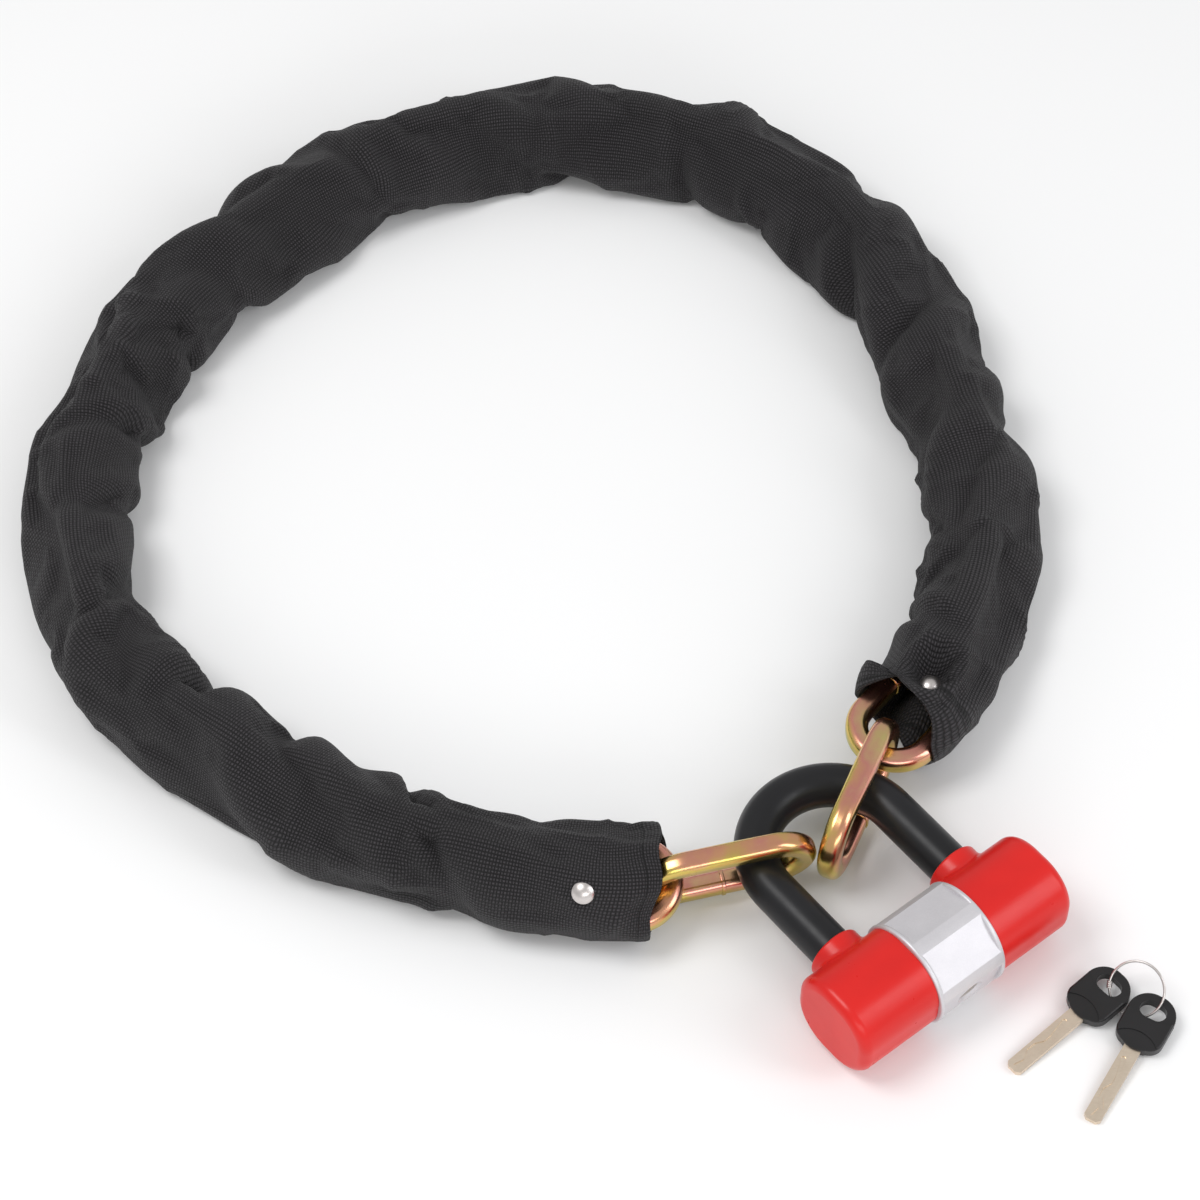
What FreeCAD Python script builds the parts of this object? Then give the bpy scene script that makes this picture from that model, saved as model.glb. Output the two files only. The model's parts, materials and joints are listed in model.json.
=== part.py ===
import FreeCAD, Part
import math
import os

# Chain lock: a square-link security chain in a woven sleeve, closed by a small D lock, with two keys.
# Millimetres, +Z up, the whole thing lies on z = 0.
# The loop is laid out in plan with the lock at the front right and the loop behind and left of it.

Vector = FreeCAD.Vector
X_AXIS = Vector(1, 0, 0)
Y_AXIS = Vector(0, 1, 0)
Z_AXIS = Vector(0, 0, 1)

# ---- chain links
LINK_SIDE = 9.0            # rounded square bar
LINK_CORNER = 3.5
LINK_INNER_LENGTH = 54.0
LINK_INNER_WIDTH = 21.0
LINK_PLAY = 1.1            # slack where one link hooks the next
WELD_PROUD = 0.45
WELD_WIDTH = 1.6

# ---- chain layout in plan
CHAIN_Z = 21.4
JOIN_LEFT = Vector(17.2, -152.5, CHAIN_Z)      # far bar of the left end link
JOIN_RIGHT = Vector(113.0, -83.5, CHAIN_Z)     # far bar of the right end link
LEFT_END_HEADING = 14.0                        # from the far bar towards the lock
RIGHT_END_HEADING = 246.5
LEFT_END_LEAN = 13.0                           # the left end link leans towards the front
SECOND_LINK_LEAN = 11.0
SWING_LEFT = Vector(65.5, -138.5, CHAIN_Z)     # where the left end link swings on the shackle
SWING_LINE_HEADING = 39.5                      # from the left swing point to the right one
LEFT_CORNER = Vector(-201.0, -38.0, CHAIN_Z)
SIDE_CHORD = 163.7
SIDE_HEADING = 89.0
TOP_CORNER = Vector(-131.0, 207.0, CHAIN_Z)
RIGHT_FIRST_HEADING = 50.0                     # of the link beside the right end link

# ---- sleeve
SLEEVE_OUTER_R = 21.2
SLEEVE_WALL = 0.8
SWING_RANGE = 18.0         # degrees, the most any pivot that opens turns
LEFT_MOUTH = 4.0           # how far the sleeve runs past the last pivot on the left
RIGHT_MOUTH = -19.0        # and how far it stops short of it on the right
RIVET_INSET_LEFT = 26.0    # from the mouth
RIVET_INSET_RIGHT = 8.5
RIVET_TILT_LEFT = 45.0
RIVET_CAP_R = 4.4
PINCH_HEIGHT = 6.0         # the right rivet draws the sleeve in to this height above the chain's plane
PINCH_R = 4.9
PINCH_MOUTH_R = 15.0
RIVET_POST_R = 1.7

# ---- lock, in its own frame: x along the bar, y towards the bow, z up
LOCK_PLACE = Vector(126.2, -181.9, 21.48)
LOCK_TURN = 38.6
BAR_HALF = 52.5
BAR_SECTION = 38.6
BAR_SECTION_CORNER = 16.5
BODY_R = 17.0
BODY_HALF = 50.0
BAND_HALF = 16.0
BAND_FLATS = 39.6
BAND_R = 21.48
RIM_WIDTH = 2.0
KEY_TILT = 10.0            # the key axis points away from the bow and dips by this angle
LEG_X = 29.8
ROD_R = 8.0
COAT_R = 8.7
BOW_Y = 58.5
LEG_END_Y = -11.0
COAT_END_Y = 17.8
NECK_R = 11.2
NECK_TOP_Y = 24.5
BOLT_R = 4.0
BOLT_Y = 9.5
BOLT_REST_TIP = 21.2
BOLT_TRAVEL = 4.0
PIN_X = 4.2
PIN_R = 0.9
CAM_R = 9.8
PLUG_R = 4.4
HOUSING_R = 10.0

# ---- keys
KEY_BLADE_LENGTH = 33.5
KEY_BLADE_WIDTH = 6.7
KEY_BLADE_THICK = 2.2
KEY_HEAD_LENGTH = 24.8
KEY_HEAD_WIDTH = 18.8
KEY_HEAD_THICK = 5.0
KEY_TILT_UP = 4.0          # blade tip on the floor, head held up by the ring
KEY_PLACES = [(Vector(154.0, -220.8, 0), 40.6), (Vector(181.6, -242.2, 0), 58.4)]
RING_R = 10.7
RING_WIRE_R = 0.5
RING_CENTRE = Vector(202.7, -190.2, 8.1)
RING_TURN = -35.5
RING_TILT = 45.0


def rounded_square_face(side, corner, across=0.0):
    """A rounded square in the x-z plane, its centre at x = across."""
    half = side / 2
    flat = half - corner
    mid = flat + corner * math.cos(math.radians(45))

    def at(x, z):
        return Vector(across + x, 0, z)

    edges = []
    signs = [(1, 1), (-1, 1), (-1, -1), (1, -1)]
    for i, (sx, sz) in enumerate(signs):
        if i % 2 == 0:
            start, end = at(sx * half, sz * flat), at(sx * flat, sz * half)
        else:
            start, end = at(sx * flat, sz * half), at(sx * half, sz * flat)
        edges.append(Part.Arc(start, at(sx * mid, sz * mid), end).toShape())
        nx, nz = signs[(i + 1) % 4]
        if i % 2 == 0:
            following = at(nx * flat, nz * half)
        else:
            following = at(nx * half, nz * flat)
        edges.append(Part.LineSegment(end, following).toShape())
    return Part.Face(Part.Wire(edges))


def make_link():
    """One flat link, long way along x, with a low weld bead round one leg."""
    bend_r = LINK_INNER_WIDTH / 2 + LINK_SIDE / 2
    leg_half = (LINK_INNER_LENGTH - LINK_INNER_WIDTH) / 2
    section = rounded_square_face(LINK_SIDE, LINK_CORNER, bend_r)
    leg = section.extrude(Vector(0, 2 * leg_half, 0))
    leg.translate(Vector(0, -leg_half, 0))
    bend_start = section.copy()
    bend_start.translate(Vector(0, leg_half, 0))
    bend = bend_start.revolve(Vector(0, leg_half, 0), Z_AXIS, 180)
    bead_face = rounded_square_face(LINK_SIDE + 2 * WELD_PROUD, LINK_CORNER + WELD_PROUD, bend_r)
    bead = bead_face.extrude(Vector(0, WELD_WIDTH, 0))
    bead.translate(Vector(0, -WELD_WIDTH / 2, 0))
    bead = bead.makeFillet(WELD_PROUD * 0.8, edges_at_ends(bead, WELD_WIDTH / 2))
    other_leg = leg.copy()
    other_bend = bend.copy()
    for shape in (other_leg, other_bend):
        shape.rotate(Vector(), Z_AXIS, 180)
    link = leg.fuse([bend, other_leg, other_bend, bead]).removeSplitter()
    link.rotate(Vector(), Z_AXIS, -90)
    return link


def edges_at_ends(shape, reach):
    """The edges that lie wholly in the planes y = +reach and y = -reach."""
    found = []
    for edge in shape.Edges:
        ys = [v.Point.y for v in edge.Vertexes]
        if all(abs(abs(y) - reach) < 1e-6 for y in ys) and abs(ys[0] - ys[-1]) < 1e-6:
            found.append(edge)
    return found


def direction(heading):
    angle = math.radians(heading)
    return Vector(math.cos(angle), math.sin(angle), 0)


def heading_of(vector):
    return math.degrees(math.atan2(vector.y, vector.x))


# ---- chain layout

UPRIGHT_SPAN = LINK_INNER_LENGTH + LINK_SIDE
FLAT_SPAN = LINK_INNER_LENGTH - LINK_SIDE - 2 * LINK_PLAY


def span_of(kind):
    return UPRIGHT_SPAN if kind == "upright" else FLAT_SPAN


def alternate(first, count):
    other = {"flat": "upright", "upright": "flat"}
    kinds = [first]
    while len(kinds) < count:
        kinds.append(other[kinds[-1]])
    return kinds


def even_arc(kinds, start, end):
    """Pivots of a run of links that bows evenly to the left of travel and ends exactly at `end`."""
    spans = [span_of(kind) for kind in kinds]
    total = sum(spans)
    middles = []
    run = 0.0
    for span in spans:
        middles.append(run + span / 2 - total / 2)
        run += span

    def reach(bend):
        x = sum(s * math.cos(bend * m) for s, m in zip(spans, middles))
        y = sum(s * math.sin(bend * m) for s, m in zip(spans, middles))
        return math.hypot(x, y), math.atan2(y, x)

    chord = (end - start).Length
    low, high = 0.0, 5.0 / total
    for _ in range(60):
        middle = (low + high) / 2
        if reach(middle)[0] > chord:
            low = middle
        else:
            high = middle
    offset = reach(low)[1]
    base = math.radians(heading_of(end - start))
    pivots = [start]
    for span, m in zip(spans, middles):
        heading = math.degrees(base + offset - low * m)
        pivots.append(pivots[-1] + direction(heading) * span)
    return pivots


def lay_chain():
    """The runs of links between the pivots that open, in order from the left end link round to the right."""
    swing_right = SWING_LEFT + direction(SWING_LINE_HEADING) * FLAT_SPAN
    top_second = TOP_CORNER + (swing_right - SWING_LEFT)
    side = direction(SIDE_HEADING) * SIDE_CHORD
    left_upper = LEFT_CORNER + side
    right_lower = JOIN_RIGHT + direction(RIGHT_FIRST_HEADING) * FLAT_SPAN
    right_upper = right_lower + side
    plan = [
        ("left_1", alternate("flat", 5), JOIN_LEFT, LEFT_CORNER),
        ("left_2", alternate("upright", 3), LEFT_CORNER, left_upper),
        ("left_3", alternate("flat", 2), left_upper, TOP_CORNER),
        ("top", ["flat"], TOP_CORNER, top_second),
        ("right_3", alternate("upright", 6), top_second, right_upper),
        ("right_2", alternate("upright", 3), right_upper, right_lower),
        ("right_1", ["flat"], right_lower, JOIN_RIGHT),
    ]
    runs = []
    for name, kinds, start, end in plan:
        pivots = even_arc(kinds, start, end)
        runs.append({"name": name, "kinds": kinds, "pivots": pivots})
    return runs


def place_link(link, kind, centre, heading, lean=0.0):
    shape = link.copy()
    roll = lean if kind == "flat" else 90.0 + lean
    shape.rotate(Vector(), X_AXIS, roll)
    shape.rotate(Vector(), Z_AXIS, heading)
    shape.translate(centre)
    return shape


def run_links(link, run):
    shapes = []
    pivots = run["pivots"]
    for i, kind in enumerate(run["kinds"]):
        start, end = pivots[i], pivots[i + 1]
        lean = -SECOND_LINK_LEAN if run["name"] == "left_1" and i == 0 else 0.0
        shapes.append(place_link(link, kind, (start + end) * 0.5, heading_of(end - start), lean))
    return shapes


def end_link(link, join, heading, lean):
    centre = join + direction(heading) * (UPRIGHT_SPAN / 2)
    return place_link(link, "upright", centre, heading, lean)


# ---- sleeve

def turn_between(before, after):
    return abs((heading_of(after) - heading_of(before) + 180) % 360 - 180)


def sleeve_gap(turn):
    """How far a sleeve length stops short of an opening pivot so that its corners never meet the next."""
    return SLEEVE_OUTER_R * math.tan(math.radians((turn + SWING_RANGE + 2.0) / 2))


def straight_tube(start, end, radius):
    return Part.makeCylinder(radius, (end - start).Length, start, end - start)


def mitred_rod(points, radius):
    """A solid rod along a bent line: straight lengths trimmed on the bisecting planes."""
    lengths = []
    far = 4 * radius
    for i in range(len(points) - 1):
        start, end = points[i], points[i + 1]
        along = (end - start).normalize()
        a = start - along * (radius if i > 0 else 0)
        b = end + along * (radius if i < len(points) - 2 else 0)
        rod = straight_tube(a, b, radius)
        for corner, other in ((i, i - 1), (i + 1, i + 1)):
            if 0 < corner < len(points) - 1:
                other_along = (points[other + 1] - points[other]).normalize()
                normal = (along + other_along).normalize()
                outward = normal if corner == i + 1 else normal * -1
                box = Part.makeBox(2 * far, 2 * far, far, Vector(-far, -far, 0))
                turn = FreeCAD.Rotation(Z_AXIS, outward)
                box.Placement = FreeCAD.Placement(points[corner], turn)
                rod = rod.cut(box)
        lengths.append(rod)
    solid = lengths[0]
    if len(lengths) > 1:
        solid = lengths[0].fuse(lengths[1:]).removeSplitter()
    return solid


def sleeve_length(points):
    outer = mitred_rod(points, SLEEVE_OUTER_R)
    return outer.cut(mitred_rod(points, SLEEVE_OUTER_R - SLEEVE_WALL))


def shortened(points, first_cut, last_cut):
    """The same bent line with its two ends moved along their own lengths."""
    out = list(points)
    first = (points[1] - points[0]).normalize()
    last = (points[-1] - points[-2]).normalize()
    out[0] = points[0] + first * first_cut
    out[-1] = points[-1] - last * last_cut
    return out


def make_sleeves(runs):
    gaps = []
    for before, after in zip(runs, runs[1:]):
        last = before["pivots"][-1] - before["pivots"][-2]
        first = after["pivots"][1] - after["pivots"][0]
        gaps.append(sleeve_gap(turn_between(last, first)))
    sleeves = {}
    for i, run in enumerate(runs):
        first_cut = gaps[i - 1] if i > 0 else -LEFT_MOUTH
        last_cut = gaps[i] if i < len(gaps) else -RIGHT_MOUTH
        sleeves[run["name"]] = sleeve_length(shortened(run["pivots"], first_cut, last_cut))
    return sleeves


def rivet_frame(shape, foot, heading, tilt):
    shape.rotate(Vector(), X_AXIS, tilt)
    shape.rotate(Vector(), Z_AXIS, heading)
    shape.translate(foot)
    return shape


def make_rivet(foot, heading, tilt, outside):
    """Cap with its post, and the washer the post is closed over on the far side."""
    seat = outside + 0.1
    dome_r = (RIVET_CAP_R ** 2 + 2.0 ** 2) / (2 * 2.0)
    dome = Part.makeSphere(dome_r, Vector(0, 0, seat + 0.6 + 2.0 - dome_r))
    cap = dome.common(Part.makeCylinder(RIVET_CAP_R, 4, Vector(0, 0, seat + 0.6)))
    cap = cap.fuse(Part.makeCylinder(RIVET_CAP_R, 0.6, Vector(0, 0, seat)))
    post_foot = Vector(0, 0, -outside + 0.1)
    post = Part.makeCylinder(RIVET_POST_R, seat + outside - 0.1, post_foot)
    post = post.cut(Part.makeCylinder(0.8, 3.0, post_foot))
    cap = cap.fuse(post).removeSplitter()
    back = Part.makeCylinder(RIVET_CAP_R, SLEEVE_WALL, Vector(0, 0, -outside + 0.1))
    back = back.cut(Part.makeCylinder(RIVET_POST_R, 3, Vector(0, 0, -seat)))
    return rivet_frame(cap, foot, heading, tilt), rivet_frame(back, foot, heading, tilt)


def rivet_hole(foot, heading, tilt):
    hole = Part.makeCylinder(RIVET_POST_R + 0.05, 60, Vector(0, 0, -30))
    return rivet_frame(hole, foot, heading, tilt)


def rivet_seat(foot, heading, tilt, outside):
    """Room in the sleeve's underside for the closing washer, which sits flush with it."""
    seat = Part.makeCylinder(RIVET_CAP_R + 0.05, 5, Vector(0, 0, -outside - 5.0 + SLEEVE_WALL + 0.1))
    return rivet_frame(seat, foot, heading, tilt)


def pinched(sleeve, points, foot, heading):
    """Draws the sleeve in above and below the rivet, as two hollows with the same wall."""
    rod = mitred_rod(points, SLEEVE_OUTER_R)
    low = PINCH_HEIGHT - SLEEVE_WALL
    top = SLEEVE_OUTER_R + 1.0
    for side in (0.0, 180.0):
        skin = Part.makeCone(PINCH_R + SLEEVE_WALL, PINCH_MOUTH_R + 1.2, top - low, Vector(0, 0, low))
        room = Part.makeCone(PINCH_R, PINCH_MOUTH_R, top - PINCH_HEIGHT, Vector(0, 0, PINCH_HEIGHT))
        for shape in (skin, room):
            shape.rotate(Vector(), X_AXIS, side)
        sleeve = sleeve.fuse(rivet_frame(skin, foot, heading, 0.0).common(rod))
        sleeve = sleeve.cut(rivet_frame(room, foot, heading, 0.0))
    return sleeve


# ---- lock

def in_lock_place(shape):
    shape.rotate(Vector(), Z_AXIS, LOCK_TURN)
    shape.translate(LOCK_PLACE)
    return shape


def key_tilted(shape):
    """Turns a shape built on the level about the bar so that the key axis dips."""
    shape.rotate(Vector(), X_AXIS, KEY_TILT)
    return shape


def horseshoe(radius, leg_end):
    """A round bar bent into a U: two straight legs and a half-round bow."""
    leg = Part.makeCylinder(radius, BOW_Y - leg_end, Vector(LEG_X, leg_end, 0), Y_AXIS)
    circle = Part.Circle(Vector(LEG_X, BOW_Y, 0), Y_AXIS, radius)
    face = Part.Face(Part.Wire([circle.toShape()]))
    bow = face.revolve(Vector(0, BOW_Y, 0), Z_AXIS, 180)
    other = leg.mirror(Vector(), X_AXIS)
    return leg.fuse([bow, other]).removeSplitter()


def bolt_bore(radius, start, end):
    bore = Part.makeCylinder(radius, end - start, Vector(start, BOLT_Y, 0), X_AXIS)
    return key_tilted(bore)


def make_shackle():
    core = horseshoe(ROD_R, LEG_END_Y)
    ends = [edge for edge in core.Edges if all(abs(v.Point.y - LEG_END_Y) < 1e-6 for v in edge.Vertexes)]
    core = core.makeChamfer(1.2, ends)
    coat = horseshoe(COAT_R, COAT_END_Y).cut(horseshoe(ROD_R, LEG_END_Y))
    notch = bolt_bore(BOLT_R + 0.3, LEG_X - ROD_R - 1, BOLT_REST_TIP + BOLT_TRAVEL + 0.5)
    core = core.cut([notch, notch.mirror(Vector(), X_AXIS)])
    return core, coat


def central_bore(radius, start, end):
    return key_tilted(Part.makeCylinder(radius, end - start, Vector(0, start, 0), Y_AXIS))


def make_bar_body():
    body = Part.makeCylinder(BODY_R, 2 * BODY_HALF, Vector(-BODY_HALF, 0, 0), X_AXIS)
    cuts = [central_bore(HOUSING_R + 0.05, -20, BOLT_Y), bolt_bore(BOLT_R + 0.1, -60, 60)]
    for side in (-1, 1):
        start = Vector(side * LEG_X, LEG_END_Y - 0.8, 0)
        cuts.append(Part.makeCylinder(ROD_R + 0.1, 40, start, Y_AXIS))
    cuts.append(retaining_pin(0.0))
    return body.cut(cuts)


def retaining_pin(shorten):
    pin = Part.makeCylinder(1.25, 29.0 - shorten, Vector(7.2, -6.0, -14.5), Z_AXIS)
    return key_tilted(pin)


def make_end_plugs():
    plugs = []
    for start in (-49.5, 43.5):
        plugs.append(bolt_bore(BOLT_R + 0.1, start, start + 6.0))
    return Part.makeCompound(plugs)


def bar_section_face(x, section=BAR_SECTION, corner=BAR_SECTION_CORNER):
    face = rounded_square_face(section, corner)
    face.rotate(Vector(), Z_AXIS, 90)
    face.translate(Vector(x, 0, 0))
    return face


def make_cover():
    """The right-hand cover: a cup over the end of the body with a short neck round the leg."""
    shell = bar_section_face(BAND_HALF + 0.1).extrude(Vector(BAR_HALF - BAND_HALF - 0.1, 0, 0))
    end_edges = [e for e in shell.Edges if all(abs(v.Point.x - BAR_HALF) < 1e-6 for v in e.Vertexes)]
    shell = shell.makeFillet(4.0, end_edges)
    neck = Part.makeCylinder(NECK_R, NECK_TOP_Y, Vector(LEG_X, 0, 0), Y_AXIS)
    shell = shell.fuse(neck)
    root = [e for e in shell.Edges if is_neck_root(e)]
    shell = shell.makeFillet(2.2, root)
    rim = [e for e in shell.Edges if all(abs(v.Point.y - NECK_TOP_Y) < 1e-6 for v in e.Vertexes)]
    shell = shell.makeFillet(1.0, rim)
    inside = Part.makeCylinder(BODY_R + 0.05, BODY_HALF + 0.1, Vector(0, 0, 0), X_AXIS)
    leg_hole = Part.makeCylinder(COAT_R + 0.3, 40, Vector(LEG_X, 0, 0), Y_AXIS)
    return shell.cut([inside, leg_hole])


def is_neck_root(edge):
    """An edge where the neck meets the round of the cover."""
    for fraction in (0.0, 0.5, 1.0):
        parameter = edge.FirstParameter + fraction * (edge.LastParameter - edge.FirstParameter)
        point = edge.valueAt(parameter)
        if abs(math.hypot(point.x - LEG_X, point.z) - NECK_R) > 1e-3:
            return False
        if point.y < 5 or point.y > NECK_TOP_Y - 1e-3:
            return False
    return True


def make_band():
    """Silver ring with six flats and rounded rims; one flat carries the keyhole."""
    corner = BAND_FLATS / 2 / math.cos(math.radians(30))
    points = []
    for i in range(7):
        angle = math.radians(60 * i)
        points.append(Vector(-BAND_HALF, corner * math.sin(angle), corner * math.cos(angle)))
    prism = Part.Face(Part.makePolygon(points)).extrude(Vector(2 * BAND_HALF, 0, 0))
    barrel = Part.makeCylinder(BAND_R, 2 * BAND_HALF, Vector(-BAND_HALF, 0, 0), X_AXIS)
    barrel = barrel.makeFillet(1.0, [e for e in barrel.Edges if len(e.Vertexes) == 1])
    rims = []
    for start in (-BAND_HALF, BAND_HALF - RIM_WIDTH):
        rim = Part.makeCylinder(BAND_R, RIM_WIDTH, Vector(start, 0, 0), X_AXIS)
        rims.append(rim.makeFillet(0.9, [e for e in rim.Edges if len(e.Vertexes) == 1 and e.Closed]))
    band = prism.common(barrel).fuse(rims)
    hole = Part.makeCylinder(BODY_R + 0.05, 2 * BAND_HALF + 2, Vector(-BAND_HALF - 1, 0, 0), X_AXIS)
    keyhole = Part.makeCylinder(4.9, 30, Vector(0, 0, 0), Y_AXIS * -1)
    lip = Part.makeCone(4.9, 6.1, 1.2, Vector(0, -BAND_FLATS / 2 + 1.0, 0), Y_AXIS * -1)
    return key_tilted(band.cut([hole, keyhole, lip]))


def make_housing():
    housing = Part.makeCylinder(HOUSING_R, 14.0, Vector(0, -13.0, 0), Y_AXIS)
    nose = Part.makeCylinder(6.2, 4.0, Vector(0, -15.7, 0), Y_AXIS)
    bore = Part.makeCylinder(PLUG_R + 0.05, 30, Vector(0, -20, 0), Y_AXIS)
    housing = key_tilted(housing.fuse(nose).removeSplitter().cut(bore))
    return housing.cut(retaining_pin(0.0))


def pin_places():
    return [-13.5 + 2.5 * i for i in range(5)]


def make_plug():
    """Turning plug: keyway, five small pin bores and a square tail for the cam."""
    plug = Part.makeCylinder(PLUG_R, 18.1, Vector(0, -17.2, 0), Y_AXIS)
    keyway = Part.makeBox(2.5, 17.0, 7.0, Vector(-1.25, -17.3, -3.5))
    tail = Part.makeBox(3.4, 4.0, 3.4, Vector(-1.7, 0.5, -1.7))
    plug = plug.cut(keyway).fuse(tail).removeSplitter()
    bores = [Part.makeCylinder(0.9, 6, Vector(0.5, y, 0), X_AXIS) for y in pin_places()]
    return key_tilted(plug.cut(bores))


def make_plug_pins():
    pins = []
    for i, y in enumerate(pin_places()):
        length = 2.6 + 0.15 * ((i * 3) % 4)
        pin = Part.makeCylinder(0.85, length, Vector(PLUG_R - 0.15 - length, y, 0), X_AXIS)
        pins.append(pin)
    return key_tilted(Part.makeCompound(pins))


def spiral_slot(start_angle):
    """A slot that lets a pin move out by BOLT_TRAVEL while the cam makes a quarter turn."""
    width = PIN_R + 0.25
    discs = []
    steps = 18
    points = []
    for i in range(steps + 1):
        share = (i - 1) / (steps - 2)
        angle = math.radians(start_angle + 90 * share)
        radius = PIN_X + BOLT_TRAVEL * share
        points.append(Vector(radius * math.cos(angle), 0, radius * math.sin(angle)))
    for point in points[1:-1]:
        discs.append(Part.makeCylinder(width, 6, point, Y_AXIS))
    for a, b in zip(points[1:-2], points[2:-1]):
        along = (b - a).normalize()
        side = Vector(-along.z, 0, along.x) * width
        strip = Part.makePolygon([a + side, b + side, b - side, a - side, a + side])
        discs.append(Part.Face(strip).extrude(Vector(0, 6, 0)))
    return discs[0].fuse(discs[1:])


def make_cam():
    """Disc on the plug's tail; its two spiral slots drive the bolts out over a quarter turn."""
    cam = Part.makeCylinder(CAM_R, 3.0, Vector(0, 1.4, 0), Y_AXIS)
    cam = cam.cut(Part.makeBox(3.4, 6, 3.4, Vector(-1.7, 0, -1.7)))
    cam = cam.cut([spiral_slot(0.0), spiral_slot(180.0)])
    return key_tilted(cam)


def make_bolt():
    """The right-hand bolt at rest, with the pin that rides in the cam."""
    bolt = Part.makeCylinder(BOLT_R, BOLT_REST_TIP - 2.9, Vector(2.9, BOLT_Y, 0), X_AXIS)
    tip = [e for e in bolt.Edges if all(abs(v.Point.x - BOLT_REST_TIP) < 1e-6 for v in e.Vertexes)]
    bolt = bolt.makeChamfer(0.8, tip)
    pin = Part.makeCylinder(PIN_R, BOLT_Y - 2.0, Vector(PIN_X, 2.0, 0), Y_AXIS)
    return key_tilted(bolt.fuse(pin).removeSplitter())


def mirrored_in_bar(shape):
    return shape.mirror(Vector(), X_AXIS)


# ---- keys

def blade_shape():
    """Flat blade along +x from its blunt tip, with the milled wave along both faces."""
    half = KEY_BLADE_WIDTH / 2
    outline = [
        Vector(0.0, -2.0, 0), Vector(1.3, -half, 0), Vector(KEY_BLADE_LENGTH + 9, -half, 0),
        Vector(KEY_BLADE_LENGTH + 9, half, 0), Vector(1.3, half, 0), Vector(0.0, 2.0, 0),
        Vector(0.0, -2.0, 0),
    ]
    blade = Part.Face(Part.makePolygon(outline)).extrude(Vector(0, 0, KEY_BLADE_THICK))
    blade.translate(Vector(0, 0, -KEY_BLADE_THICK / 2))
    wave = [(1.5, 0.0), (6.0, -1.2), (10.0, 1.0), (13.5, 0.9), (17.0, -0.9), (20.5, -0.8), (28.5, 0.9)]
    cuts = []
    for a, b in zip(wave, wave[1:]):
        for side in (-1, 1):
            cuts.append(groove(a, b, side))
    return blade.cut(cuts)


def groove(a, b, side):
    """One straight length of the milled wave, half a millimetre deep, on the top or the bottom face."""
    width = 0.95
    low = KEY_BLADE_THICK / 2 - 0.5 if side > 0 else -KEY_BLADE_THICK / 2 - 1
    start, end = Vector(a[0], a[1] * side, low), Vector(b[0], b[1] * side, low)
    across = Vector(start.y - end.y, end.x - start.x, 0).normalize() * width
    strip = Part.makePolygon([start + across, end + across, end - across, start - across, start + across])
    cut = Part.Face(strip).extrude(Vector(0, 0, 1.5))
    return cut.fuse(Part.makeCylinder(width, 1.5, end))


def head_outline(grow=0.0):
    """Rounded head outline as a wire: narrow at the blade, wide and round at the ring end."""
    start = KEY_BLADE_LENGTH - grow
    end = KEY_BLADE_LENGTH + KEY_HEAD_LENGTH + grow
    half = KEY_HEAD_WIDTH / 2 + grow
    shoulder = start + 6.5
    curves = [
        Part.Arc(Vector(start + 1.6, -5.2, 0), Vector(start, 0, 0), Vector(start + 1.6, 5.2, 0)),
        Part.Arc(Vector(start + 1.6, 5.2, 0), Vector(start + 3.4, 8.0, 0), Vector(shoulder, half, 0)),
        Part.LineSegment(Vector(shoulder, half, 0), Vector(end - 8.5, half, 0)),
        Part.Arc(Vector(end - 8.5, half, 0), Vector(end - 2.2, 6.6, 0), Vector(end, 0, 0)),
        Part.Arc(Vector(end, 0, 0), Vector(end - 2.2, -6.6, 0), Vector(end - 8.5, -half, 0)),
        Part.LineSegment(Vector(end - 8.5, -half, 0), Vector(shoulder, -half, 0)),
        Part.Arc(Vector(shoulder, -half, 0), Vector(start + 3.4, -8.0, 0), Vector(start + 1.6, -5.2, 0)),
    ]
    return Part.Wire([curve.toShape() for curve in curves])


def head_shape():
    """Moulded plastic head, dished along two arcs on each face, with an oval ring hole."""
    head = Part.Face(head_outline()).extrude(Vector(0, 0, KEY_HEAD_THICK))
    head.translate(Vector(0, 0, -KEY_HEAD_THICK / 2))
    rims = [e for e in head.Edges if abs(abs(e.CenterOfMass.z) - KEY_HEAD_THICK / 2) < 1e-6]
    head = head.makeFillet(0.9, rims)
    ring_end = KEY_BLADE_LENGTH + KEY_HEAD_LENGTH
    hole_centre = ring_end - 6.9
    hole = Part.makeBox(7.0, 3.6, 20, Vector(hole_centre - 3.5, -1.8, -10))
    for y in (-1.8, 1.8):
        hole = hole.fuse(Part.makeCylinder(3.5, 20, Vector(hole_centre, y, -10)))
    cuts = [hole]
    for side in (-1, 1):
        thin = Part.makeBox(30, 40, 5, Vector(hole_centre - 4.5, -20, -2.5))
        thin = thin.common(Part.makeCylinder(16, 5, Vector(hole_centre + 11.5, 0, -2.5)))
        thin.translate(Vector(0, 0, side * (KEY_HEAD_THICK / 2 - 0.55 + 2.5)))
        cuts.append(thin)
        dish = Part.makeCylinder(11.5, 5, Vector(KEY_BLADE_LENGTH - 4.0, 0, -2.5))
        dish.translate(Vector(0, 0, side * (KEY_HEAD_THICK / 2 - 0.4 + 2.5)))
        cuts.append(dish)
    return head.cut(cuts)


def in_key_place(shape, place):
    tip, heading = place
    shape.translate(Vector(0, 0, KEY_BLADE_THICK / 2))
    shape.rotate(Vector(), Y_AXIS, -KEY_TILT_UP)
    shape.rotate(Vector(), Z_AXIS, heading)
    shape.translate(tip)
    return shape


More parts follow.
